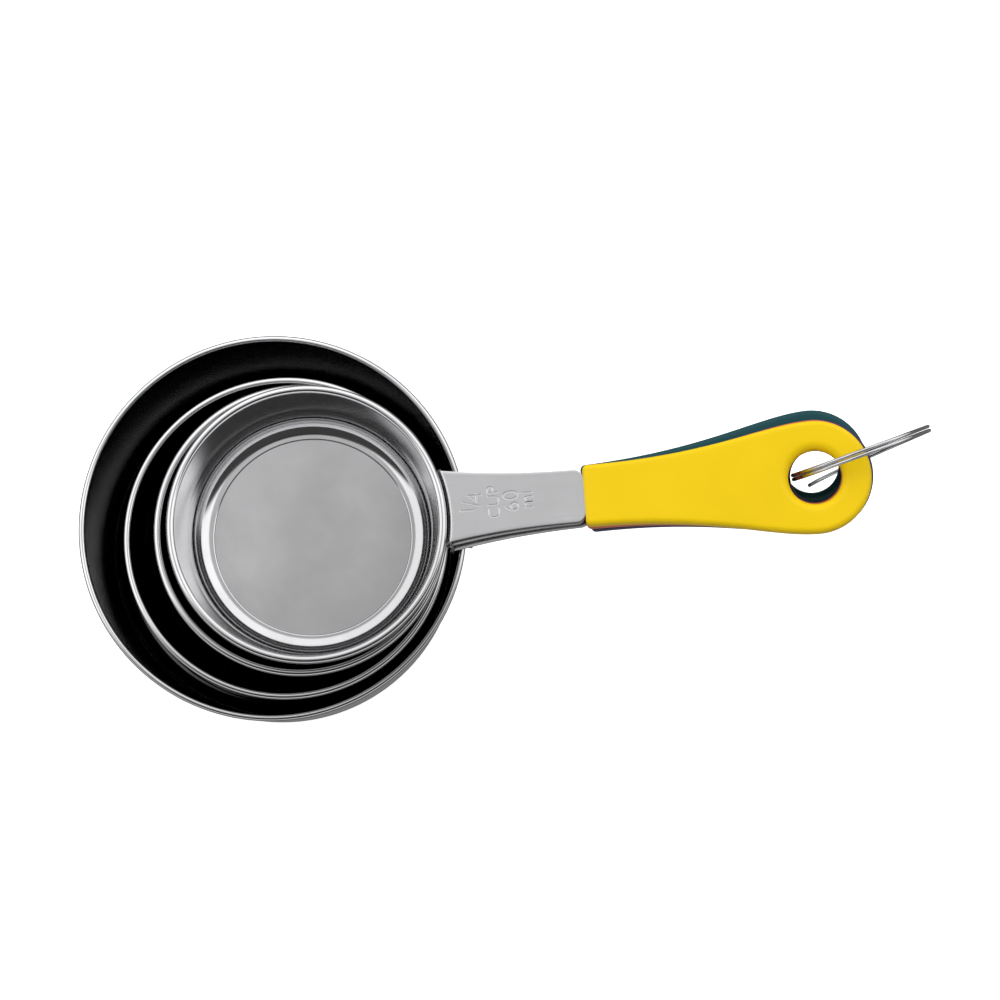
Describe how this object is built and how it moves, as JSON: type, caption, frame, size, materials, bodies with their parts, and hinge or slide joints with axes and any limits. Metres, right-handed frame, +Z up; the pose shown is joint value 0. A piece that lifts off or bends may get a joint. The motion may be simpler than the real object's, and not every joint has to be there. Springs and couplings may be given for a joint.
{
  "type": "measuring cup set",
  "caption": "Nested steel measuring cups with rolled rims and flat tangs in coloured plastic sleeves, held by a wire split ring.",
  "frame": {"origin": "centre of the largest cup's flat underside", "axes": "+Z up, +X from the largest cup's centre along its handle to the ring, -Z out of the face it stands on"},
  "size_m": [0.2021, 0.0916, 0.0653],
  "materials": {
    "drawn_steel": "satin drawn stainless steel, brighter on the rolled rim",
    "brushed_steel": "flat stainless sheet, fine brushed",
    "green_plastic": "smooth moulded, soft gloss",
    "purple_plastic": "smooth moulded, soft gloss",
    "orange_plastic": "smooth moulded, soft gloss",
    "yellow_plastic": "smooth moulded, soft gloss",
    "spring_wire": "bright drawn spring wire"
  },
  "bodies": {
    "one_cup": {"one_cup_bowl": "drawn_steel", "one_cup_tang": "brushed_steel", "one_cup_sleeve": "green_plastic"},
    "half_cup": {"half_cup_bowl": "drawn_steel", "half_cup_tang": "brushed_steel", "half_cup_sleeve": "purple_plastic"},
    "third_cup": {"third_cup_bowl": "drawn_steel", "third_cup_tang": "brushed_steel", "third_cup_sleeve": "orange_plastic"},
    "quarter_cup": {"quarter_cup_bowl": "drawn_steel", "quarter_cup_tang": "brushed_steel", "quarter_cup_sleeve": "yellow_plastic"},
    "ring": {"split_ring": "spring_wire"}
  },
  "joints": [
    {"name": "half_cup_swing", "type": "hinge", "parent": "one_cup", "child": "half_cup", "pos_m": [0.1394, 0.0009, 0.04805], "axis": [-0.246, 0.9579, 0.1478], "range_deg": [0, 40]},
    {"name": "third_cup_swing", "type": "hinge", "parent": "half_cup", "child": "third_cup", "pos_m": [0.1394, 0.0009, 0.04805], "axis": [-0.246, 0.9579, 0.1478], "range_deg": [0, 40]},
    {"name": "quarter_cup_swing", "type": "hinge", "parent": "third_cup", "child": "quarter_cup", "pos_m": [0.1394, 0.0009, 0.04805], "axis": [-0.246, 0.9579, 0.1478], "range_deg": [0, 40]},
    {"name": "ring_turn", "type": "hinge", "parent": "one_cup", "child": "ring", "pos_m": [0.1394, 0.0009, 0.04805], "axis": [-0.246, 0.9579, 0.1478], "continuous": true}
  ]
}
